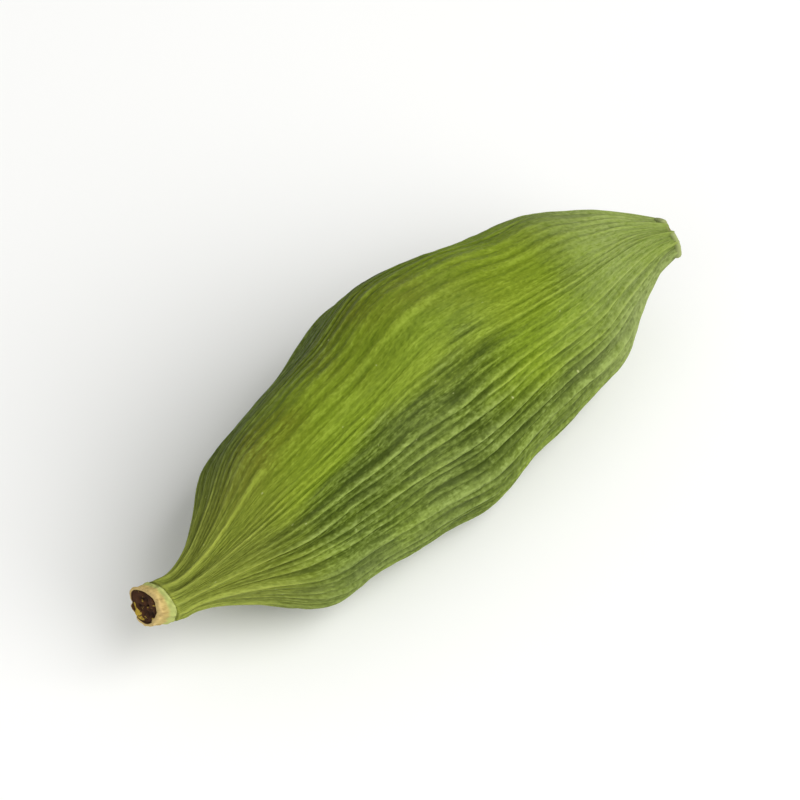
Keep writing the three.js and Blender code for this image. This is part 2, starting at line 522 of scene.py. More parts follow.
@dataclass(frozen=True)
class DryHuskFinish:
    """Sun-dried capsule husk: a thin fibrous skin that has shrunk on to its strands of fibre.

    It gives the eye a satin yellow-green on the lobes and a deep green in the grooves between them, with
    light and shade painted in: the lobes are painted lighter towards the key lamp, the flank takes painted
    shade in the tan colour, and the low side a painted deeper green. The crests of the ribs are pale in
    broken lines, partly rubbed and partly a painted highlight, and the troughs between them are darkened
    partly as painted shade. Fine streaks run along the fibres. A dusty grey-green film lies in places, and
    there are a few corky specks. Each of the first three colours has a value for the grooves and then one
    for the lobes.

    Attributes:
        skin: Colours of the skin.
        trough: Colours between the ribs, darker partly as painted shade.
        crest: Colours of the ribs' pale crests, partly rubbed and partly a painted highlight.
        bloom: Colour of the dusty film.
        neck: Colour of the edge that meets the stalk.
        tan: Colour of the tan patches, and of the painted shade on the flank.
        speck: Colour of the corky specks.
        streaks: The streaks of fibres.
        breaks: The rubbed and unrubbed stretches of a crest.
        patches: The broad patches of deeper colour.
        grains: The skin's own fine grain.
        grain_share: How much the grain breaks up a streak.
        patch_share: How much a patch shifts the line between groove and lobe colours.
        streak_share: How much a streak shifts it.
        ripe_at: Where the groove's colours turn into the lobe's.
        tanned_at: How a patch tans.
        dark_at: How a streak darkens.
        trough_share: How much a trough darkens, partly as painted shade.
        worn_at: How a stretch of a crest is rubbed.
        pale_at: How a streak pales.
        dusty_at: How the dusty film lies.
        frost_at: How dust lies on the grains.
        frosted_at: How much more of it lies on a crest.
        paled_at: How the neck's strands pale.
        speck_spacing: Distance between two corky specks, in millimetres.
        speck_size: Width of a speck.
        speck_share: Strength of a speck's colour.
        specked_at: Which stretches have specks.
        relief_shares: Heights of the breaks and of the grains, as shares of the streaks'.
        surface: How the rubbed skin takes the light.
        dull: Roughness of the troughs and the dusty film.
    """

    skin: tuple[str, str] = ("52621a", "758a1f")
    trough: tuple[str, str] = ("35420e", "5a6d13")
    crest: tuple[str, str] = ("84954a", "8fa235")
    bloom: str = "98a566"
    neck: str = "a9b04a"
    tan: str = "65641c"
    speck: str = "b7bd7f"
    streaks: Grain = Grain(0.2, 1.8, 4, 0.72)
    breaks: Grain = Grain(0.3, 0.3, 4, 0.65)
    patches: Grain = Grain(3.0, 3.0, 2)
    grains: Grain = Grain(0.09, 0.16, 2)
    grain_share: float = 0.45
    patch_share: float = 1.2
    streak_share: float = 0.9
    ripe_at: Ramp = Ramp(0.9, 2.1)
    tanned_at: Ramp = Ramp(0.35, 0.6, 0.2)
    dark_at: Ramp = Ramp(0.75, 0.52, 0, 0.8)
    trough_share: float = 0.9
    worn_at: Ramp = Ramp(0.7, 1.25, 0.25, 1.2)
    pale_at: Ramp = Ramp(0.75, 0.96, 0, 0.7)
    dusty_at: Ramp = Ramp(0.7, 1.25, 0.35)
    frost_at: Ramp = Ramp(0.52, 0.72, 0, 0.22)
    frosted_at: Ramp = Ramp(0, 0.6, 0.15)
    paled_at: Ramp = Ramp(0.58, 0.88, 0.45)
    speck_spacing: float = 0.55
    speck_size: float = 0.09
    speck_share: float = 0.75
    specked_at: Ramp = Ramp(0.5, 0.6)
    relief_shares: tuple[float, float] = (0.5, 0.5)
    surface: Surface = Surface(0.52, 0.06, 0.06)
    dull: float = 0.75

    def build(self) -> bpy.types.Material:
        """Makes the material and returns it."""
        material, tree = new_material("dry_husk_green")
        painted = {m: add_node(tree, "ShaderNodeAttribute", {}, attribute_name=m.value) for m in SkinMap}
        value = {m: outputs["Fac"] for m, outputs in painted.items()}
        fibre = painted[SkinMap.FIBRE]["Vector"]
        streak, broken, grain = (
            pattern.add(tree, fibre)["Fac"] for pattern in (self.streaks, self.breaks, self.grains)
        )
        patches = self.patches.add(tree, fibre)["Color"]
        patch, burnt, _ = add_node(tree, "ShaderNodeSeparateColor", {"Color": patches})

        # Each row gives the first value times the second plus the third. Grain breaks up the streaks, so
        # that they don't run as clean lines.
        strand, lit, chafed, crinkle = (
            add_node(tree, "ShaderNodeMath", {0: a, 1: b, 2: c}, operation="MULTIPLY_ADD")[0]
            for a, b, c in (
                (grain, self.grain_share, streak),
                (patch, self.patch_share, value[SkinMap.LOBE]),
                (broken, 1.0, grain),
                (broken, self.relief_shares[0], streak),
            )
        )
        streaked, relief = (
            add_node(tree, "ShaderNodeMath", {0: a, 1: b, 2: c}, operation="MULTIPLY_ADD")[0]
            for a, b, c in ((streak, self.streak_share, lit), (grain, self.relief_shares[1], crinkle))
        )
        ripe = add_node(
            tree, "ShaderNodeMapRange", self.ripe_at.of(streaked), interpolation_type="SMOOTHSTEP",
        )[0]

        # Distances come in cells, and a speck keeps its full colour over the inner half of its width.
        cell = self.speck_size / 2 / self.speck_spacing
        spot = add_node(
            tree, "ShaderNodeTexVoronoi", {"Vector": fibre, "Scale": 1 / self.speck_spacing, "Randomness": 1},
        )["Distance"]
        speck_at = Ramp(cell, cell / 2, 0, self.speck_share)
        tan_and_flank_shade, dark_streak, worn, pale_streak, settled, frost, frosted, paled, speck, specked = (
            add_node(tree, "ShaderNodeMapRange", ramp.of(source))[0]
            for ramp, source in (
                (self.tanned_at, burnt), (self.dark_at, strand), (self.worn_at, chafed),
                (self.pale_at, strand), (self.dusty_at, chafed), (self.frost_at, grain),
                (self.frosted_at, value[SkinMap.CREST]), (self.paled_at, strand), (speck_at, spot),
                (self.specked_at, broken),
            )
        )
        # The tan colour's share holds real tan patches and painted shade on the flank.
        tan_and_flank_shade, rubbed, dust, frost, paled, speck = (
            add_node(tree, "ShaderNodeMath", {0: a, 1: b}, operation="MULTIPLY")[0]
            for a, b in (
                (tan_and_flank_shade, value[SkinMap.TAN]), (value[SkinMap.CREST], worn), (value[SkinMap.BLOOM], settled),
                (frost, frosted), (paled, value[SkinMap.NECK]), (speck, specked),
            )
        )
        # The troughs between the ribs darken partly as painted shade.
        deep = add_node(
            tree, "ShaderNodeMath", {0: value[SkinMap.TROUGH], 1: self.trough_share, 2: dark_streak},
            operation="MULTIPLY_ADD", use_clamp=True,
        )[0]
        # Pale crests: partly rubbed fibre, partly a painted highlight.
        pale = add_node(
            tree, "ShaderNodeMath", {0: rubbed, 1: pale_streak}, operation="ADD", use_clamp=True,
        )[0]
        frost = add_node(tree, "ShaderNodeMix", {0: ripe, 2: frost, 3: 0.0}, data_type="FLOAT")[0]
        dust = add_node(tree, "ShaderNodeMath", {0: dust, 1: frost}, operation="MAXIMUM")[0]

        colour, trough, crest = (
            add_node(tree, "ShaderNodeMix", {0: ripe, 6: groove, 7: lobe}, data_type="RGBA")[2]
            for groove, lobe in (map(linear, pair) for pair in (self.skin, self.trough, self.crest))
        )
        for share, coat in (
            (tan_and_flank_shade, linear(self.tan)), (deep, trough), (pale, crest), (dust, linear(self.bloom)),
            (paled, linear(self.neck)), (speck, linear(self.speck)),
        ):
            colour = add_node(tree, "ShaderNodeMix", {0: share, 6: colour, 7: coat}, data_type="RGBA")[2]

        dulled = add_node(
            tree, "ShaderNodeMath", {0: value[SkinMap.TROUGH], 1: value[SkinMap.BLOOM]}, operation="MAXIMUM",
        )[0]
        dulling = Ramp(0, 1, self.surface.roughness, self.dull)
        roughness = add_node(tree, "ShaderNodeMapRange", dulling.of(dulled))[0]
        self.surface.add(tree, colour, relief, Roughness=roughness)
        return material


@dataclass(frozen=True)
class CorkyStalkFinish:
    """Dried fruit stalk, cut across: a corky skin round fibres, tan at the cut and greener near the husk.

    Attributes:
        name: Name of the material.
        cut: Colour of the cut rim.
        skin: Colour of the stalk's side.
        stain: Colour of the darker fibres.
        green: Colour where the stalk meets the husk.
        inside: Colour of the inner wall, stained by the pith.
        fibres: The streaks of fibres.
        stained_at: How a streak is stained.
        surface: How the dry cork takes the light.
    """

    name: str = "corky_stalk_tan"
    cut: str = "cdb375"
    skin: str = "bfa968"
    stain: str = "8f7440"
    green: str = "a9b468"
    inside: str = "4a301b"
    fibres: Grain = Grain(0.07, 0.5, 3, 0.6)
    stained_at: Ramp = Ramp(0.5, 0.25, 0, 0.7)
    surface: Surface = Surface(0.8, 0.2, 0.02)

    def build(self) -> bpy.types.Material:
        """Makes the material and returns it."""
        material, tree = new_material(self.name)
        painted = {
            m: add_node(tree, "ShaderNodeAttribute", {}, attribute_name=m.value)
            for m in (SkinMap.CREST, SkinMap.TROUGH, SkinMap.NECK, SkinMap.FIBRE)
        }
        strand = self.fibres.add(tree, painted[SkinMap.FIBRE]["Vector"])["Fac"]
        stained = add_node(tree, "ShaderNodeMapRange", self.stained_at.of(strand))[0]
        colour = linear(self.skin)
        for share, coat in (
            (painted[SkinMap.CREST]["Fac"], self.cut), (stained, self.stain),
            (painted[SkinMap.NECK]["Fac"], self.green), (painted[SkinMap.TROUGH]["Fac"], self.inside),
        ):
            layers = {0: share, 6: colour, 7: linear(coat)}
            colour = add_node(tree, "ShaderNodeMix", layers, data_type="RGBA")[2]
        self.surface.add(tree, colour, strand)
        return material


@dataclass(frozen=True)
class DryPithFinish:
    """Pith of a cut stalk: dried, shrunk and broken, almost black in its holes, with cream ends of fibre.

    Attributes:
        name: Name of the material.
        pith: Colour of the pith.
        hole: Colour of its deepest hollows, as painted shade.
        fibre: Colour of the broken fibre ends.
        lumps: The lumps of pith.
        torn_share: How much more fibre shows where the pith is torn.
        broken_at: Which lumps show their fibre.
        surface: How the dry pith takes the light.
    """

    name: str = "dry_pith_brown"
    pith: str = "50331f"
    hole: str = "22120a"
    fibre: str = "c2a53f"
    lumps: Grain = Grain(0.16, 0.16, 3, 0.65)
    torn_share: float = 0.22
    broken_at: Ramp = Ramp(0.62, 0.7)
    surface: Surface = Surface(0.9, 0.15, 0.04)

    def build(self) -> bpy.types.Material:
        """Makes the material and returns it."""
        material, tree = new_material(self.name)
        painted = {
            m: add_node(tree, "ShaderNodeAttribute", {}, attribute_name=m.value)
            for m in (SkinMap.CREST, SkinMap.TROUGH, SkinMap.FIBRE)
        }
        lump = self.lumps.add(tree, painted[SkinMap.FIBRE]["Vector"])["Fac"]
        torn = add_node(
            tree, "ShaderNodeMath", {0: painted[SkinMap.CREST]["Fac"], 1: self.torn_share, 2: lump},
            operation="MULTIPLY_ADD",
        )[0]
        broken = add_node(tree, "ShaderNodeMapRange", self.broken_at.of(torn))[0]
        colour = linear(self.pith)
        # The hollows take the hole colour as painted shade.
        for share, coat in ((painted[SkinMap.TROUGH]["Fac"], self.hole), (broken, self.fibre)):
            layers = {0: share, 6: colour, 7: linear(coat)}
            colour = add_node(tree, "ShaderNodeMix", layers, data_type="RGBA")[2]
        self.surface.add(tree, colour, lump)
        return material


@dataclass(frozen=True)
class PaperFloorFinish:
    """Smooth white paper, matt, that only takes the pod's soft shadow.

    Attributes:
        sheet: Colour of the paper.
        surface: How the paper takes the light.
    """

    sheet: str = "f9f9f7"
    surface: Surface = Surface(0.9, 0.1)

    def build(self) -> bpy.types.Material:
        """Makes the material and returns it."""
        material, tree = new_material("white_paper")
        self.surface.add(tree, linear(self.sheet))
        return material


@dataclass(frozen=True)
class RibSet:
    """Ribs of one kind round the pod.

    Attributes:
        per_rib: Ribs of this kind for each main rib.
        offset: Share of their own spacing by which they stand aside from the main ribs.
        heights: Of the lowest and the highest of them, as shares of a strong rib's.
        crests: How narrow the broadest and the narrowest crest are.
        swing: How far a rib's height rises and falls along the pod, as a share.
        steps: Number of times that it rises or falls.
        seed: Seed of that rise and fall.
        strong_step: Every rib of this step has the full height and, alone and broader, runs on into both
            ends. 0 gives none.
        end_crest: How narrow the crest of such a rib is at both ends.
        end_share: Share of the other ribs' height that is left at both ends.
    """

    per_rib: int
    offset: float
    heights: Span
    crests: Span
    swing: float
    steps: int
    seed: int
    strong_step: int = 0
    end_crest: float = 2.2
    end_share: float = 0.0

    def wave(self, shape: PodShape, place: Array, along: Array, full: Array) -> Array:
        """Works out the height of these ribs, as a share of a strong rib's.

        A rib's section is a raised cosine to a power. Its height and its power follow the golden ratio from
        rib to rib, and its height rises and falls along the pod by seeded noise.

        Args:
            shape: Form of the whole pod.
            place: Place round the pod, counted in main ribs.
            along: Distance along the pod.
            full: How much of the ribs shows: 0 at both ends, and 1 between them.

        Returns:
            The heights, from 0 between the ribs.
        """
        count = shape.ribs * self.per_rib
        across = place * self.per_rib - self.offset
        rib = np.mod(np.rint(across), count)
        step = max(self.strong_step, 1)
        strong = (self.strong_step > 0) & (np.mod(rib, step) == 0)
        own = np.where(strong, 1, lerp(*self.heights, np.mod(rib * GOLDEN_SHARE, 1)))
        power = lerp(*self.crests, np.mod((rib + 0.5) * GOLDEN_SHARE ** 2, 1))
        swing = Unevenness(self.swing, (count, self.steps), self.seed).at(rib / count, along / shape.length)
        wave = own * (1 + swing) * ((1 + np.cos(TAU * across)) / 2) ** power
        ending = ((1 + np.cos(TAU * across / step)) / 2) ** self.end_crest * (self.strong_step > 0)
        return lerp(ending + self.end_share * wave, wave, full)


@dataclass(frozen=True)
class SkinPattern:
    """Where the husk is rubbed, deep, ripe, dusty, tan or pale, and where light and shade are painted on it.

    Attributes:
        lit_crest_side: Angle of the side with the palest crests, a painted highlight towards the key lamp.
        rubbed: Mean strength of the rubbed crests' paleness, and its swing round the pod, which is painted
            light.
        painted_lit_side: Side towards the key lamp, whose lobes are painted a lighter yellow-green as painted
            light.
        flank: Side away from the key lamp, darkened on the stalk's half in the tan colour as painted shade.
        fresh: Side that has stayed fresh green on the tip's half.
        shaded: Low side, facing down, painted a deeper green as painted shade.
        tip_half: Shares of the length between which the stalk's half turns into the tip's.
        fresh_flank: How ripe the flank looks on the tip's half.
        fresh_side: How ripe the fresh side looks there.
        sharpness: How narrow the crests and the troughs are drawn.
        smooth_crest: Strength of a crest where the skin is smooth.
        smooth_trough: Strength of a trough there.
        neck_trough: Strength of a trough on the neck.
        plain_lobe: How ripe a lobe looks away from the painted light.
        shade: How much less ripe the shaded side looks, as painted shade.
        dusty_tip: Shares of the length between which the tip turns dusty.
        tip_dust: How dusty the tip is.
        low: Sines below the horizon between which the low side begins.
        low_side_grey: How much greyer the low side is.
        film: Patches of dust all over.
        flank_shade_strength: How strongly the flank takes the tan colour, as painted shade.
        lit_side_tan: Strength of the tan patches on the lit side.
        neck: Shares of the length between which the neck's paleness fades.
        neck_pale: How pale the neck is in a trough and on a crest.
        edge: Distances from the neck's edge between which its paleness fades.
        edge_pale: How pale the edge is.
    """

    lit_crest_side: float = np.radians(152)
    rubbed: Span = (0.7, 0.3)
    painted_lit_side: Side = Side(np.radians(112), (0.6, 0.95))
    flank: Side = Side(np.radians(52), (0.6, 0.95))
    fresh: Side = Side(np.radians(128), (0.65, 0.99))
    shaded: Side = Side(np.radians(215), (0.5, 0.9))
    tip_half: Span = (0.46, 0.68)
    fresh_flank: float = 0.7
    fresh_side: float = 0.85
    sharpness: float = 2
    smooth_crest: float = 0.4
    smooth_trough: float = 0.25
    neck_trough: float = 0.4
    plain_lobe: float = 0.3
    shade: float = 0.25
    dusty_tip: Span = (0.64, 1)
    tip_dust: float = 0.7
    low: Span = (-0.25, 0.2)
    low_side_grey: float = 0.15
    film: Unevenness = Unevenness(0.2, (7, 7), 41)
    flank_shade_strength: float = 0.85
    lit_side_tan: float = 0.3
    neck: Span = (0.08, 0.27)
    neck_pale: Span = (0.5, 0.9)
    edge: Span = (0.08, 0.2)
    edge_pale: float = 0.85

    def maps(
        self, share: Array, from_edge: Array, turn_share: Array, angle: Array, ridge: Array, smooth: Array,
        raised: Array,
    ) -> dict[SkinMap, Array]:
        """Works out what the finish reads.

        Args:
            share: Place along the pod, as a share of its length.
            from_edge: Distance from the neck's edge.
            turn_share: Place round the pod, as a share of a turn.
            angle: Angle round the axis.
            ridge: 0 in a groove between lobes, 1 on a lobe.
            smooth: 0 where the ribs stand out, 1 where the skin is smooth.
            raised: Height of the ribs, from 0 to 1.

        Returns:
            The values by map.
        """
        # Lobes are painted lighter towards the key lamp: painted light.
        painted_lit_side, flank = self.painted_lit_side.at(angle), self.flank.at(angle)
        tip_half = smoothstep(share, *self.tip_half)
        # Painted shade on the flank away from the key lamp, in the tan colour, on the stalk's half.
        tan_and_flank_shade = flank * (1 - tip_half)
        fresh = tip_half * np.maximum(self.fresh_flank * flank, self.fresh_side * self.fresh.at(angle))
        neck = 1 - smoothstep(share, *self.neck)
        edge = 1 - smoothstep(from_edge, *self.edge)
        drawn = raised ** self.sharpness
        sunk = (1 - raised) ** self.sharpness
        # The crests' paleness swings round the pod as a painted highlight, strongest towards the key lamp.
        rubbed = self.rubbed[0] + self.rubbed[1] * np.cos(angle - self.lit_crest_side)
        dust = self.tip_dust * smoothstep(share, *self.dusty_tip)
        low_side_grey = self.low_side_grey * smoothstep(-np.sin(angle), *self.low)
        # A lobe looks riper towards the key lamp: painted light.
        ripe = ridge * lerp(self.plain_lobe, 1, painted_lit_side)
        calm = lerp(1, self.smooth_trough, np.maximum(smooth, fresh))
        return {
            SkinMap.CREST: drawn * lerp(1, self.smooth_crest, smooth) * rubbed,
            SkinMap.TROUGH: sunk * calm * lerp(1, self.neck_trough, neck),
            # The low side is painted a deeper, less ripe green: painted shade.
            SkinMap.LOBE: np.maximum(ripe, fresh) - self.shade * self.shaded.at(angle),
            SkinMap.BLOOM: np.clip(dust + low_side_grey + self.film.at(turn_share, share), 0, 1),
            # Tan colour: real tan patches, and painted shade on the flank.
            SkinMap.TAN: ridge * np.clip(self.flank_shade_strength * tan_and_flank_shade + self.lit_side_tan * painted_lit_side, 0, 1),
            SkinMap.NECK: np.maximum(self.edge_pale * edge, lerp(*self.neck_pale, drawn) * neck),
        }


@dataclass
class HuskSkin:
    """The ribbed green husk, one grown piece from its neck to the flower scar in its tip.

    Attributes:
        shape: Form of the whole pod.
        pattern: Where the finish shows what.
        start: Distance along the pod where the neck begins.
        rib_height: Height of a strong rib above its troughs.
        main: The main ribs.
        between: The lower ribs between two main ones.
        fine: The fine ribs all over.
        trough_share: Share of the height that lies below the mean skin.
        ridge_edge: Shares of the lobes' shape between which a groove turns into a lobe.
        ridge_wander: How far single ribs shift that edge.
        ridge_bays: How far broad bays shift it.
        rib_on_lobe: Height on a lobe, as a share of that in a groove.
        upper: Sines above the horizon between which the lower lobes turn into the upper one.
        low_smooth: How smooth the lower lobes are, where the upper one has 1.
        flank: Side whose grooves are smooth as well.
        flank_smooth: How smooth it is.
        rib_at_ends: Height in the neck and the tip, as a share of that between them.
        rib_ends: Shares of the length between which the ribs part at the neck, and join again at the tip.
        edge: Distances from the neck's edge between which the ribs rise.
        rib_at_edge: Height at that edge, as a share.
        sway: Sideways sway of neighbouring ribs together, in ribs.
        drift: Sideways drift of single ribs, in ribs.
        sway_on_lobe: Sway and drift on a lobe, as a share of that in a groove.
        dents: The broad dents.
        puckers: The small puckers between fibres.
        flare: How far the neck's edge stands out round the stalk.
        flare_length: Length over which it does.
        scar_depth: Depth of the flower scar.
        scar_floor: Share of the scar's width that its flat floor takes up.
        scar_rings: Rings in the scar: shares of its depth and of the way from its rim to its floor's edge.
        sides_per_rib: Points round the pod for each main rib.
        stations: Rings of points along the pod.
        end_crowding: How much the rings draw together at both ends.
    """

    shape: PodShape
    pattern: SkinPattern = SkinPattern()
    start: float = 0.64
    rib_height: float = 0.2
    main: RibSet = RibSet(1, 0, (0.4, 1), (2.2, 4), 0.35, 9, 11, strong_step=3)
    between: RibSet = RibSet(1, 0.5, (0.2, 0.8), (3, 6), 0.7, 8, 12)
    fine: RibSet = RibSet(3, 0.3, (0.1, 0.4), (1.5, 3), 0.9, 16, 13, end_share=0.6)
    trough_share: float = 0.4
    ridge_edge: Span = (0.2, 0.9)
    ridge_wander: Unevenness = Unevenness(0.16, (36, 16), 23)
    ridge_bays: Unevenness = Unevenness(0.2, (9, 9), 24)
    rib_on_lobe: float = 0.22
    upper: Span = (-0.2, 0.5)
    low_smooth: float = 0.3
    flank: Side = Side(np.radians(52), (0.7, 0.95))
    flank_smooth: float = 0.8
    rib_at_ends: float = 0.6
    rib_ends: tuple[float, float, float, float] = (0.05, 0.2, 0.92, 1.0)
    edge: Span = (0.05, 0.3)
    rib_at_edge: float = 0.25
    sway: Unevenness = Unevenness(0.08, (12, 6), 21)
    drift: Unevenness = Unevenness(0.1, (36, 14), 22)
    sway_on_lobe: float = 0.35
    dents: Unevenness = Unevenness(0.018, (9, 13), 31)
    puckers: Unevenness = Unevenness(0.012, (120, 70), 32)
    flare: float = 0.015
    flare_length: float = 0.3
    scar_depth: float = 0.14
    scar_floor: float = 0.6
    scar_rings: tuple[Span, ...] = ((0.05, 0.25), (0.4, 0.6), (0.85, 0.85), (1.0, 1.0), (1.0, 1.6))
    sides_per_rib: int = 16
    stations: int = 164
    end_crowding: float = 0.07

    def rings(self) -> tuple[Array, Array]:
        """Lists the rings from the neck to the tip and down into the flower scar.

        Returns:
            The distance along the pod of each ring, and its width as a share of the outline's.
        """
        even = np.linspace(0, 1, self.stations)
        crowded = even - self.end_crowding * np.sin(TAU * even)
        skin = lerp(self.start, self.shape.length, crowded)
        depth, inward = np.array(self.scar_rings).T
        along = np.concatenate([skin, self.shape.length - self.scar_depth * depth])
        return along, np.concatenate([np.ones(self.stations), lerp(1, self.scar_floor, inward)])

    def surface(self) -> RingSurface:
        """Works out the skin: the pod's section, its lobes and swellings, then ribs, dents and puckers.

        Returns:
            The surface with its maps.
        """
        shape = self.shape
        along, width = (part[:, None] for part in self.rings())
        sides = shape.ribs * self.sides_per_rib
        place = np.arange(sides)[None, :] * shape.ribs / sides
        spot = place / shape.ribs, along / shape.length
        turn_share, share = spot
        from_edge = along - self.start
        full = shape.fullness(along)

        angle = shape.rib_angle(place, along)
        loose = lerp(1, self.sway_on_lobe, (1 + shape.lobe_shape(angle)) / 2) * full
        angle = angle + (self.sway.at(*spot) + self.drift.at(*spot)) * loose * TAU / shape.ribs
        lobe = (1 + shape.lobe_shape(angle)) / 2 + self.ridge_wander.at(*spot) + self.ridge_bays.at(*spot)
        ridge = smoothstep(lobe, *self.ridge_edge) * full

        parted = smoothstep(share, *self.rib_ends[:2]) * (1 - smoothstep(share, *self.rib_ends[2:]))
        main, between, fine = (
            ribs.wave(shape, place, along, parted) for ribs in (self.main, self.between, self.fine)
        )
        raised = 1 - (1 - np.clip(main, 0, 1)) * (1 - np.clip(between, 0, 1)) * (1 - fine)
        smooth = ridge * lerp(self.low_smooth, 1, smoothstep(np.sin(angle), *self.upper))
        smooth = np.maximum(smooth, self.flank_smooth * self.flank.at(angle) * full)
        begun = lerp(self.rib_at_edge, 1, smoothstep(from_edge, *self.edge))
        zone = lerp(1, self.rib_on_lobe, smooth) * lerp(self.rib_at_ends, 1, full) * begun
        ribbed = self.rib_height * zone * (raised - self.trough_share)
        flare = self.flare * (1 - smoothstep(from_edge, 0, self.flare_length))
        uneven = (self.dents.at(*spot) + self.puckers.at(*spot)) * full
        relief = ribbed + shape.swelling(angle, along) + uneven + flare

        lobed = shape.radius(along) * (1 + shape.lobe_depth * shape.lobe_shape(angle) * full)
        points = shape.point(along, angle, (lobed + relief) * width)
        maps = self.pattern.maps(share, from_edge, turn_share, angle, ridge, smooth, raised)
        maps[SkinMap.FIBRE] = across_fibres(along, TAU * turn_share, shape.width / 2)
        return RingSurface(points, maps)

    def build(self) -> None:
        """Makes the husk and dresses it."""
        settle(self.surface().build("husk_skin"), DryHuskFinish().build(), "husk", "husk")


@dataclass
class StalkStub:
    """The stub of the cut fruit stalk on the pod's neck, with the shrunken pith in its mouth.

    Attributes:
        shape: Form of the whole pod.
        length: Of the stub.
        neck: Distance along the pod where the husk's neck begins.
        mouth: Radius at the cut.
        wall: Mean thickness of the corky rim.
        thin_side: Angle of the side where the rim is thinnest.
        thinning: How much thinner the rim is on its thin side, as a share.
        cut_slant: Slope of the cut face, which looks a little upwards.
        inner_wall: Rings up the inner wall: shares of its radius and of the pith's depth.
        hidden_end: Radius where the stub closes inside the neck, as a share of the neck's.
        skin: Thickness of the outer skin.
        ridges: The fibres that run on from the neck.
        ridge_rise: Distances from the cut between which they rise.
        roughness: Unevenness of the side.
        chips: The chips in the cut rim.
        rim_fade: Distances from the cut between which the rim turns into the side.
        stain_width: Width of the pith's stain on the rim, as a share of half the wall.
        greening: Distances from the cut between which the side turns green.
        green: How green it is at the neck.
        pith_depth: Depth of the pith's floor below the cut.
        pith_fit: Radius of the pith, as a share of the inner wall's.
        pith_bed: How far its hidden side lies below the floor.
        pith_height: Of the pith above its floor, in its middle and at its edge.
        pith_limits: Least and greatest height.
        lumps: The broad lumps of pith.
        small_lumps: The small lumps.
        lump_height: Height of a lump, as a share of the pith's.
        hollows: How dark the pith is on average, and how much darker a hollow is, as painted shade.
        torn: Side where torn fibres show in the pith.
        torn_ring: Shares of the pith's radius between which they begin.
        corners: Unroundness of the stub.
        dents: Further unroundness of the stub.
        sides: Points round the stub.
        rim_rings: Rings over the rim.
        side_rings: Rings down the side.
        pith_rings: Rings on the pith's face.
    """

    shape: PodShape
    length: float = 0.63
    neck: float = 0.64
    mouth: float = 0.62
    wall: float = 0.11
    thin_side: float = -0.7
    thinning: float = 0.75
    cut_slant: float = 0.25
    inner_wall: tuple[Span, ...] = ((0.3, 1), (0.8, 1), (0.92, 0.9), (1, 0.6))
    hidden_end: float = 0.6
    skin: float = 0.02
    ridges: Ripple = Ripple(0.03, 12, np.pi / 2)
    ridge_rise: Span = (0.1, 0.6)
    roughness: Unevenness = Unevenness(0.03, (40, 5), 51)
    chips: Unevenness = Unevenness(0.06, (26, 3), 52)
    rim_fade: Span = (0.05, 0.25)
    stain_width: float = 0.4
    greening: Span = (0.28, 0.45)
    green: float = 0.9
    pith_depth: float = 0.18
    pith_fit: float = 0.97
    pith_bed: float = 0.02
    pith_height: Span = (0.11, 0.13)
    pith_limits: Span = (0.01, 0.17)
    lumps: Unevenness = Unevenness(1, (9, 4), 61)
    small_lumps: Unevenness = Unevenness(0.6, (22, 8), 62)
    lump_height: float = 0.4
    hollows: Span = (0.5, 0.6)
    torn: Side = Side(-1.15, (0.5, 0.9))
    torn_ring: Span = (0.5, 0.8)
    corners: Ripple = Ripple(0.05, 3, 1)
    dents: Ripple = Ripple(0.03, 5)
    sides: int = 144
    rim_rings: int = 13
    side_rings: int = 19
    pith_rings: int = 22

    def turn(self) -> Array:
        """Returns the angles round the stub as one row."""
        return np.linspace(0, TAU, self.sides, endpoint=False)[None, :]

    def wall_at(self) -> Array:
        """Returns the thickness of the rim at each angle, thinner towards one side."""
        return self.wall * (1 - self.thinning * np.cos(self.turn() - self.thin_side))

    def points(self, along: Array, radius: Array) -> Array:
        """Places points round the uneven stub, slanted by the cut as far as they lie from the neck."""
        turn = self.turn()
        slant = self.cut_slant * (self.mouth + radius * np.sin(turn)) * (1 - along / self.length)
        uneven = 1 + self.corners.at(turn) + self.dents.at(turn)
        return self.shape.point(along + slant, turn, radius * uneven)

    def collar(self) -> RingSurface:
        """Works out the corky collar: a profile from the pith's floor over the rim and down to the neck.

        The rim is a half circle, chipped by seeded noise, and the side carries the ridges of the fibres.

        Returns:
            The surface with its maps.
        """
        turn = self.turn()
        neck = self.shape.radius(np.array(self.neck))
        edge = self.wall_at() / 2
        inner = self.mouth - 2 * edge
        rim = np.linspace(0, np.pi, self.rim_rings)[:, None]
        side = np.linspace(0, 1, self.side_rings + 1)[1:, None]
        even = np.ones_like(edge)
        wall_radius, wall_depth = np.array(self.inner_wall).T[:, :, None]
        radius = np.concatenate([
            wall_radius * inner, self.mouth - edge - edge * np.cos(rim), lerp(self.mouth, neck, side) * even,
            self.hidden_end * neck * even,
        ])
        along = np.concatenate([
            self.pith_depth * wall_depth * even, edge - edge * np.sin(rim), lerp(edge, self.length, side),
            self.length * even,
        ])
        outer = smoothstep(radius, inner, self.mouth - self.skin) * (along < self.length)
        near_rim = 1 - smoothstep(along, *self.rim_fade)
        ridge = self.ridges.at(turn) * smoothstep(along, *self.ridge_rise) * outer
        rough = self.roughness.at(turn / TAU, along / self.length) * outer
        chipped = np.clip(along + self.chips.at(turn / TAU, radius) * near_rim, 0, self.length)
        maps = {
            SkinMap.CREST: near_rim,
            SkinMap.TROUGH: 1 - smoothstep(radius, inner, inner + self.stain_width * edge),
            SkinMap.NECK: self.green * smoothstep(along, *self.greening),
            SkinMap.FIBRE: across_fibres(along, turn, radius),
        }
        return RingSurface(self.points(chipped, radius + ridge + rough), maps)

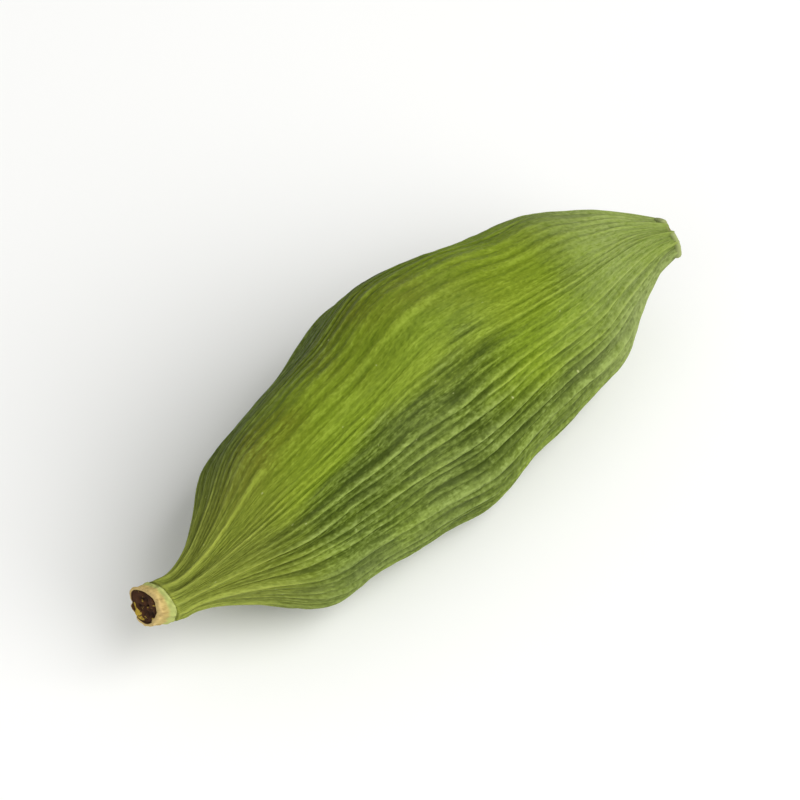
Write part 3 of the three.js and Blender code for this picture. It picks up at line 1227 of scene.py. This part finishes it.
    def pith(self) -> RingSurface:
        """Works out the pith: a lumpy disc whose height above its floor is seeded noise in rings.

        Returns:
            The surface with its maps.
        """
        turn = self.turn()
        shares, under = disc_rings(self.pith_rings)
        radius = self.pith_fit * (self.mouth - self.wall_at()) * shares
        lumps = self.lumps.at(turn / TAU, shares) + self.small_lumps.at(turn / TAU, shares)
        top = lerp(*self.pith_height, shares ** 2) * (1 + self.lump_height * lumps)
        face = self.pith_depth - np.clip(top, *self.pith_limits)
        along = np.where(under, self.pith_depth + self.pith_bed, face)
        # The pith's lower spots are painted darker: painted shade in its hollows.
        maps = {
            SkinMap.TROUGH: np.clip(self.hollows[0] - self.hollows[1] * lumps, 0, 1),
            SkinMap.CREST: self.torn.at(turn) * smoothstep(shares, *self.torn_ring),
            SkinMap.FIBRE: across_fibres(along, turn, radius),
        }
        return RingSurface(self.points(along, radius), maps)

    def build(self) -> None:
        """Makes the collar and the pith and dresses them."""
        settle(self.collar().build("stalk_collar"), CorkyStalkFinish().build(), "stalk", "stalk")
        settle(self.pith().build("stalk_pith"), DryPithFinish().build(), "stalk")


@dataclass
class TipScar:
    """The scar that the fallen flower leaves in the pod's tip: a dry, curled lip round a shrunken plug.

    Attributes:
        shape: Form of the whole pod.
        thickness: Mean radius of the lip's own section.
        lumps: Unevenness of the lip, as a share.
        lump_shares: How much a lump adds to the lip's thickness and to its distance from the middle.
        curl: How far the lip rises and falls round the scar.
        rows: Rows in which the lip reads its lumps and its curl.
        notches: Angles of the clefts that part the lip in two.
        notch_width: Width of a cleft, in radians.
        notch_floor: Share of that width where a cleft is deepest.
        notch_share: Share of the lip's thickness that a cleft leaves.
        notch_stain: How brown a cleft is.
        seat: Depth of the lip's middle below the tip.
        lip_radius: Of the lip, as a share of the rim's.
        flared_side: Angle of the side where the lip curls outwards.
        flare: How far it does.
        flare_green: How green it is there.
        plug_depth: Depth of the plug's middle below the tip.
        plug_edge: Depth of its edge.
        plug_fit: Radius of the plug, as a share of the rim's.
        plug_bed: How far its hidden side lies below its middle.
        wrinkles: The radial wrinkles of the plug.
        dimples: Its broad dimples.
        wrinkle_height: Height of a wrinkle.
        hollows: How dark the plug is on average, and how much darker a hollow is, as painted shade.
        plug_fibre: How much of its fibre shows at its edge.
        plug_rings: Rings on the plug's face.
        sides: Points round the scar.
        section_sides: Points round the lip's section.
    """

    shape: PodShape
    thickness: float = 0.085
    lumps: Unevenness = Unevenness(1, (17, 2), 71)
    lump_shares: Span = (0.4, 0.08)
    curl: Unevenness = Unevenness(0.06, (9, 2), 72)
    rows: Span = (0.5, 0.3)
    notches: Span = (1.85, 5.2)
    notch_width: float = 0.3
    notch_floor: float = 0.3
    notch_share: float = 0.5
    notch_stain: float = 0.8
    seat: float = 0.1
    lip_radius: float = 0.98
    flared_side: float = 2.9
    flare: float = 0.05
    flare_green: float = 0.4
    plug_depth: float = 0.13
    plug_edge: float = 0.03
    plug_fit: float = 0.97
    plug_bed: float = 0.06
    wrinkles: Unevenness = Unevenness(1, (19, 3), 73)
    dimples: Unevenness = Unevenness(0.5, (7, 5), 74)
    wrinkle_height: float = 0.03
    hollows: Span = (0.4, 0.5)
    plug_fibre: float = 0.5
    plug_rings: int = 16
    sides: int = 144
    section_sides: int = 14

    def rim(self) -> tuple[Array, Array, float]:
        """Returns the place round the pod and the angle of each point of the rim, and the rim's radius."""
        place = np.linspace(0, self.shape.ribs, self.sides, endpoint=False)[None, :]
        angle = self.shape.rib_angle(place, np.array([[self.shape.length]]))
        return place / self.shape.ribs, angle, float(self.shape.radius(np.array(self.shape.length)))

    def lip(self) -> RingSurface:
        """Works out the lip: a round section carried round the rim of the scar, thinning to two clefts.

        Its thickness, its height and its distance from the middle vary by seeded noise, and on one side it
        leans out by a raised cosine.

        Returns:
            The surface with its maps.
        """
        turn_share, angle, rim = self.rim()
        away = np.min([np.abs(np.mod(angle - notch + np.pi, TAU) - np.pi) for notch in self.notches], axis=0)
        opened = smoothstep(away, self.notch_floor * self.notch_width, self.notch_width)
        whole = lerp(self.notch_share, 1, opened)
        lumps = self.lumps.at(turn_share, self.rows[0])
        flared = (1 + np.cos(angle - self.flared_side)) / 2
        thick = self.thickness * whole * (1 + self.lump_shares[0] * lumps)
        middle = self.shape.length - self.seat + self.curl.at(turn_share, self.rows[1]) * whole
        section = np.linspace(0, TAU, self.section_sides, endpoint=False)[:, None]
        along = middle + thick * np.sin(section)
        out = rim * (self.lip_radius + self.lump_shares[1] * lumps) + self.flare * flared * whole
        radius = out + thick * np.cos(section)
        maps = {
            SkinMap.CREST: whole,
            SkinMap.NECK: self.flare_green * flared,
            SkinMap.TROUGH: self.notch_stain * (1 - whole),
            SkinMap.FIBRE: across_fibres(along, angle, radius),
        }
        return RingSurface(self.shape.point(along, angle, radius), maps, looped=True)

    def plug(self) -> RingSurface:
        """Works out the plug: a disc with radial wrinkles whose height is seeded noise in rings.

        Returns:
            The surface with its maps.
        """
        tip = self.shape.length
        turn_share, angle, rim = self.rim()
        shares, under = (rings[::-1] for rings in disc_rings(self.plug_rings))
        lumps = self.wrinkles.at(turn_share, shares) + self.dimples.at(turn_share, shares)
        top = tip - lerp(self.plug_depth, self.plug_edge, shares ** 2) + self.wrinkle_height * lumps
        along = np.where(under, tip - self.plug_depth - self.plug_bed, np.minimum(top, tip))
        radius = self.plug_fit * rim * shares
        # The plug's lower spots are painted darker: painted shade in its hollows.
        maps = {
            SkinMap.TROUGH: np.clip(self.hollows[0] - self.hollows[1] * lumps, 0, 1),
            SkinMap.CREST: self.plug_fibre * shares,
            SkinMap.FIBRE: across_fibres(along, angle, radius),
        }
        return RingSurface(self.shape.point(along, angle, radius), maps)

    def build(self) -> None:
        """Makes the lip and the plug and dresses them."""
        lip = CorkyStalkFinish(
            name="dry_lip_green", cut="9ca470", skin="8e985c", stain="6c6f3c", green="84924c",
            inside="7a6a42",
        )
        plug = DryPithFinish(name="dry_scar_brown", pith="857a48", hole="4f4626", fibre="a39b62")
        settle(self.lip().build("tip_lip"), lip.build(), "husk")
        settle(self.plug().build("tip_plug"), plug.build(), "husk")


class LampRole(Enum):
    """What a lamp does for the picture."""

    KEY = "key"
    FILL = "fill"


@dataclass(frozen=True)
class Lamp:
    """A square soft box that faces the pod.

    Attributes:
        role: What it does for the picture.
        place: Where it stands, in millimetres.
        size: Length of its sides, in millimetres.
        watts: Its power.
    """

    role: LampRole
    place: tuple[float, float, float]
    size: float
    watts: float

    def build(self) -> None:
        """Makes the lamp."""
        light = bpy.data.lights.new(self.role.value, "AREA")
        light.size = self.size * MM
        light.energy = self.watts
        lamp = bpy.data.objects.new(self.role.value, light)
        lamp.location = Vector(self.place) * MM
        lamp.rotation_euler = (-Vector(self.place)).to_track_quat("-Z", "Y").to_euler()
        bpy.context.scene.collection.objects.link(lamp)


@dataclass
class Studio:
    """A white paper floor, soft lamps, and the camera at the photograph's viewing angle.

    Attributes:
        floor_size: Length of the floor's sides, in millimetres.
        azimuth: Of the camera, in degrees, where 0 looks along +Y.
        elevation: Of the camera above the horizon, in degrees.
        view_width: Width of the picture at the pod, in millimetres.
        lens: Focal length, in millimetres.
        reach: Nearest and farthest distance that the camera shows, in millimetres.
        aim: Point that the camera looks at, in millimetres.
        sky: Brightness of the even light from all round.
        sky_colour: Its colour.
        lamps: The soft boxes.
    """

    floor_size: float = 3000
    azimuth: float = -42.6
    elevation: float = 50.0
    view_width: float = 23.5
    lens: float = 250.0
    reach: Span = (1, 100_000)
    aim: tuple[float, float, float] = (0.0, 0.0, 3.3)
    sky: float = 0.42
    sky_colour: str = "ffffff"
    lamps: tuple[Lamp, ...] = (
        Lamp(LampRole.KEY, (75, -205, 206), 320, 1.1),
        Lamp(LampRole.FILL, (-200, -60, 160), 200, 0.08),
    )

    def floor(self) -> None:
        """Makes the floor, a flat sheet under the pod."""
        half = self.floor_size / 2 * MM
        x, y = np.meshgrid([-half, half], [-half, half])
        corners = np.stack([x, y, np.zeros_like(x)], axis=-1).reshape(-1, 3)
        mesh = bpy.data.meshes.new("floor")
        mesh.from_pydata(corners, [], [[0, 1, 3, 2]])
        mesh.materials.append(PaperFloorFinish().build())
        sheet = bpy.data.objects.new("floor", mesh)
        bpy.context.scene.collection.objects.link(sheet)

    def camera(self) -> None:
        """Makes the camera, far enough back that its lens takes in the view's width."""
        turn, rise = np.radians(self.azimuth), np.radians(self.elevation)
        back = Vector((np.sin(turn) * np.cos(rise), -np.cos(turn) * np.cos(rise), np.sin(rise)))
        data = bpy.data.cameras.new("camera")
        data.lens = self.lens
        data.clip_start, data.clip_end = (limit * MM for limit in self.reach)
        distance = self.view_width * self.lens / data.sensor_width
        camera = bpy.data.objects.new("camera", data)
        camera.location = (Vector(self.aim) + back * distance) * MM
        camera.rotation_euler = back.to_track_quat("Z", "Y").to_euler()
        bpy.context.scene.collection.objects.link(camera)
        bpy.context.scene.camera = camera

    def build(self) -> None:
        """Makes the floor, lamps, even light and camera."""
        scene = bpy.context.scene
        scene.view_settings.view_transform = "Standard"
        scene.world = bpy.data.worlds.new("sky")
        scene.world.use_nodes = True
        sky = scene.world.node_tree.nodes["Background"]
        sky.inputs["Color"].default_value = linear(self.sky_colour)
        sky.inputs["Strength"].default_value = self.sky
        self.floor()
        for lamp in self.lamps:
            lamp.build()
        self.camera()


def main() -> None:
    """Builds the pod's pieces and the studio."""
    logging.basicConfig(level=logging.INFO, format="%(name)s: %(message)s")
    shape = PodShape(length=2 * CAD_BOX[1].x / MM)
    for part in (HuskSkin(shape), StalkStub(shape), TipScar(shape)):
        part.build()
    Studio().build()
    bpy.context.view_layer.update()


if __name__ == "__main__":
    main()
